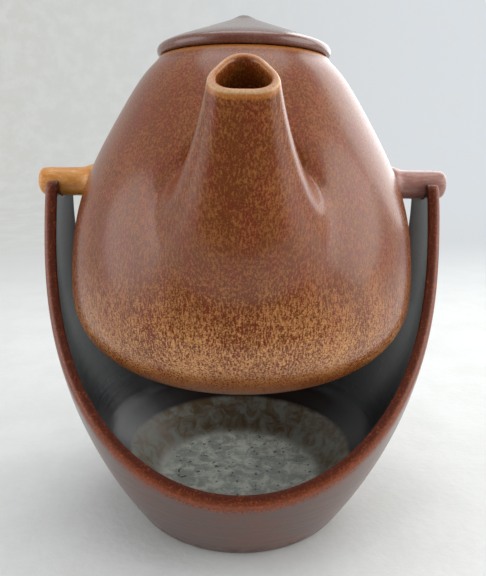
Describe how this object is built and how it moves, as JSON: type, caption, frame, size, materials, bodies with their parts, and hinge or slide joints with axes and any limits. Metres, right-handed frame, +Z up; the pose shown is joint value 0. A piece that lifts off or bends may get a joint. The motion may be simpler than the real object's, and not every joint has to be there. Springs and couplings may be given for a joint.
{
  "type": "tilting teapot with infuser and cradle stand",
  "caption": "Round stoneware teapot hung by two side pegs in a swept cradle stand, with a short flared spout, a flat lid and a lift-out infuser; it tips forward to pour.",
  "frame": {"origin": "centre of the stand's flat foot, on the surface that it stands on", "axes": "+Z up along the axis of the stand, the pot and the lid; X along the two pegs; the spout points to -Y"},
  "size_m": [0.1768, 0.207, 0.217],
  "materials": {
    "stand_glaze": "satin",
    "pot_glaze": "satin",
    "lid_glaze": "gloss",
    "ochre_glaze": "satin",
    "peg_glaze": "satin",
    "infuser_steel": "brushed"
  },
  "bodies": {
    "stand": {"cradle_stand": "stand_glaze"},
    "pot": {"pot_bowl": "pot_glaze", "pot_shoulder": "pot_glaze", "mouth_ring": "pot_glaze", "strainer": "pot_glaze", "spout": "pot_glaze", "rear_handle": "pot_glaze", "left_peg": "ochre_glaze", "right_peg": "peg_glaze"},
    "infuser": {"infuser_rim": "infuser_steel", "infuser_wall": "infuser_steel", "infuser_base": "infuser_steel"},
    "lid": {"lid": "lid_glaze"}
  },
  "joints": [
    {"name": "pot_tilt", "type": "hinge", "parent": "stand", "child": "pot", "pos_m": [0, 0, 0.1492], "axis": [1, 0, 0], "range_deg": [-20, 75]},
    {"name": "infuser_lift", "type": "slide", "parent": "pot", "child": "infuser", "axis": [0, 0, 1], "range_m": [0, 0.11]},
    {"name": "lid_lift", "type": "slide", "parent": "infuser", "child": "lid", "axis": [0, 0, 1], "range_m": [0, 0.06]}
  ]
}
